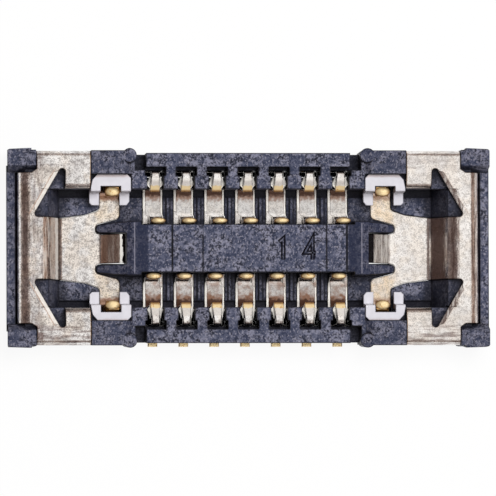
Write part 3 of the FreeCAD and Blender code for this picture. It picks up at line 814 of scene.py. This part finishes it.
def stroke(bm, points, width, low, high):
    """A raised bead along a line of points, mitred at its corners, in millimetres."""
    rings = []
    last = len(points) - 1
    for i, point in enumerate(points):
        here = Vector(point)
        back = (here - Vector(points[i - 1])).normalized() if i else None
        on = (Vector(points[i + 1]) - here).normalized() if i < last else None
        ways = [Vector((-way.y, way.x)) for way in (back, on) if way]
        normal = sum(ways, Vector((0, 0))).normalized()
        reach = width / 2 / normal.dot(ways[0])
        section = [(-reach, low), (reach, low), (reach * 0.7, high), (-reach * 0.7, high)]
        rings.append([bm.verts.new((*(here + normal * a), z)) for a, z in section])
    bridge(bm, rings)


class RECEPTACLE_OT_housing(bpy.types.Operator):
    """Dress the moulded housing"""

    bl_idname = "receptacle.housing"
    bl_label = "Housing"

    def execute(self, context):
        paint("housing", dark_moulding(context.scene.receptacle_look))
        return {"FINISHED"}


class RECEPTACLE_OT_fittings(bpy.types.Operator):
    """Dress the folded end fittings and cap their power bumps"""

    bl_idname = "receptacle.fittings"
    bl_label = "End fittings"

    def execute(self, context):
        metal = fitting_metal(context.scene.receptacle_look)
        for name in FITTINGS:
            paint(name, metal)
        wide, deep, high = POWER_BUMP
        for end, across in (("left", -1), ("right", 1)):
            for row, side in (("upper", 1), ("lower", -1)):
                bm = bmesh.new()
                dome(bm, (across * wide, side * deep, high), POWER_BUMP_RADII)
                new_piece(f"power_bump_{end}_{row}", bm, [metal])
        return {"FINISHED"}


class RECEPTACLE_OT_guards(bpy.types.Operator):
    """Dress the pale guards of the power arms"""

    bl_idname = "receptacle.guards"
    bl_label = "Guards"

    def execute(self, context):
        resin = guard_resin(context.scene.receptacle_look)
        for name in GUARDS:
            paint(name, resin)
        return {"FINISHED"}


class RECEPTACLE_OT_contacts(bpy.types.Operator):
    """Bend the signal contacts with their coined edges"""

    bl_idname = "receptacle.contacts"
    bl_label = "Signal contacts"

    def execute(self, context):
        look = context.scene.receptacle_look
        props = context.scene.receptacle_contact
        metals = [contact_metal(look, props.pitch / MM), sheared_metal(look)]
        first = -props.pitch * (props.per_row - 1) / 2
        for side, row in ((1, "upper"), (-1, "lower")):
            strip = Strip(props, side)
            for i in range(props.per_row):
                node = f"signal_contact_{row}_{i + 1}"
                if node not in CONTACTS:
                    raise RuntimeError(f"no contact named {node}")
                bm = contact_mesh((first + props.pitch * i) / MM, strip)
                piece = new_piece(f"bent_contact_{row}_{i + 1}", bm, metals)
                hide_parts(node)
        return {"FINISHED"}


class RECEPTACLE_OT_number(bpy.types.Operator):
    """Mould the plain contact count into the island"""

    bl_idname = "receptacle.number"
    bl_label = "Number"

    def execute(self, context):
        one = [(0.350, 0.066), (0.396, 0.106), (0.396, -0.130)]
        four = [(0.728, -0.130), (0.728, 0.106), (0.640, -0.052), (0.764, -0.052)]
        bm = bmesh.new()
        # The black outer bead is painted shade along the number's edges; the narrow bead on top has the
        # housing's finish.
        for line in (one, four):
            stroke(bm, line, 0.062, 0.477, 0.4825)
        outline = set(bm.faces)
        for line in (one, four):
            stroke(bm, line, 0.024, 0.478, 0.4845)
        for face in set(bm.faces) - outline:
            face.material_index = 1
        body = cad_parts["housing"].data.materials[0]
        finishes = [number_edge_shade(context.scene.receptacle_look), body]
        new_piece("moulded_number", bm, finishes)
        return {"FINISHED"}


class RECEPTACLE_OT_studio(bpy.types.Operator):
    """Set the pale floor, the soft light and the camera"""

    bl_idname = "receptacle.studio"
    bl_label = "Studio"

    def execute(self, context):
        studio = context.scene.receptacle_studio
        self.floor()
        self.sky(context, studio)
        self.key_light(context, studio)
        self.camera(context, studio)
        context.scene.view_settings.view_transform = "Standard"
        return {"FINISHED"}

    def floor(self):
        """A pale floor that cameras and reflections see as white, with the part's shadow."""
        bpy.ops.mesh.primitive_plane_add(size=0.4, location=(0, 0, -2 * MICRON))
        floor = bpy.context.object
        floor.name = "floor"
        g = material_graph("pale_floor")
        pale = g.add("ShaderNodeBsdfDiffuse", None, {"Color": (0.9, 0.9, 0.9, 1)})
        white = g.add("ShaderNodeEmission", None, {"Color": (1, 1, 1, 1), "Strength": 1.0})
        kinds = ("Camera", "Glossy", "Transmission")
        seen = strongest(*[g.add("ShaderNodeLightPath", output=f"Is {kind} Ray") for kind in kinds])
        g.close(g.add("ShaderNodeMixShader", None, [seen * 0.92, pale, white]))
        floor.data.materials.append(g.owner)

    def sky(self, context, studio):
        """A dome with one large soft box overhead and darker, warmer surroundings."""
        world = bpy.data.worlds.new("studio_dome")
        context.scene.world = world
        g = Graph(world, "ShaderNodeOutputWorld")
        x, y, z = g.split(g.add("ShaderNodeTexCoord", output="Generated"))
        box = between(x, -0.10, 0.64, 0.10) * y.size().step(0.90, 0.76) * z.step(0.0, 0.2)
        side = g.mix(x.step(-0.1, 0.3), studio.dark_side, studio.warm_side)
        around = g.mix(z.step(0.08, 0.35), studio.horizon, side)
        colour = g.mix(box, around, studio.soft_box)
        diffuse = g.add("ShaderNodeLightPath", output="Is Diffuse Ray")
        strength = studio.dome * (1 - (1 - studio.fill) * diffuse)
        g.close(g.add("ShaderNodeBackground", None, {"Color": colour, "Strength": strength}))

    def key_light(self, context, studio):
        """A round lamp high on the upper right, unseen in reflections."""
        lamp = bpy.data.lights.new("key_panel", "AREA")
        lamp.shape = "DISK"
        lamp.size = 30 * MM
        lamp.energy = studio.lamp
        panel = bpy.data.objects.new("key_panel", lamp)
        place = Vector((8, 10, 53)) * MM
        panel.location = place
        panel.rotation_euler = (-place).to_track_quat("-Z", "Y").to_euler()
        panel.visible_glossy = False
        context.scene.collection.objects.link(panel)

    def camera(self, context, studio):
        """A long lens almost straight above the part, as in the photo."""
        data = bpy.data.cameras.new("camera")
        data.lens = studio.lens
        data.sensor_width = 36.0
        data.clip_start = 0.01
        data.clip_end = 2.0
        camera = bpy.data.objects.new("camera", data)
        context.scene.collection.objects.link(camera)
        back = Vector((-math.tan(studio.lean_left), -math.tan(studio.lean_front), 1)).normalized()
        up = back.cross(Vector((1, 0, 0))).normalized()
        right = up.cross(back)
        aim = Vector((0.0425, 0.016, 0)) * MM
        place = aim + back * studio.frame_width * data.lens / data.sensor_width
        turn = Matrix((right, up, back)).transposed().to_4x4()
        camera.matrix_world = Matrix.Translation(place) @ turn
        context.scene.camera = camera


OPERATORS = (
    RECEPTACLE_OT_housing,
    RECEPTACLE_OT_fittings,
    RECEPTACLE_OT_guards,
    RECEPTACLE_OT_contacts,
    RECEPTACLE_OT_number,
    RECEPTACLE_OT_studio,
)

GROUPS = {
    "receptacle_contact": ContactProps,
    "receptacle_look": LookProps,
    "receptacle_studio": StudioProps,
}


class RECEPTACLE_PT_panel(bpy.types.Panel):
    """Buttons and values of the receptacle"""

    bl_label = "Receptacle"
    bl_idname = "RECEPTACLE_PT_panel"
    bl_space_type = "VIEW_3D"
    bl_region_type = "UI"
    bl_category = "Receptacle"

    def draw(self, context):
        for group in GROUPS:
            values = getattr(context.scene, group)
            for name in values.__annotations__:
                self.layout.prop(values, name)
        for operator in OPERATORS:
            self.layout.operator(operator.bl_idname)


def register():
    for name, group in GROUPS.items():
        bpy.utils.register_class(group)
        setattr(bpy.types.Scene, name, PointerProperty(type=group))
    for operator in OPERATORS:
        bpy.utils.register_class(operator)
    bpy.utils.register_class(RECEPTACLE_PT_panel)


def unregister():
    bpy.utils.unregister_class(RECEPTACLE_PT_panel)
    for operator in reversed(OPERATORS):
        bpy.utils.unregister_class(operator)
    for name, group in GROUPS.items():
        delattr(bpy.types.Scene, name)
        bpy.utils.unregister_class(group)


def main():
    register()
    bpy.ops.receptacle.housing()
    bpy.ops.receptacle.fittings()
    bpy.ops.receptacle.guards()
    bpy.ops.receptacle.contacts()
    bpy.ops.receptacle.number()
    bpy.ops.receptacle.studio()
    bpy.context.view_layer.update()


if __name__ == "__main__":
    main()
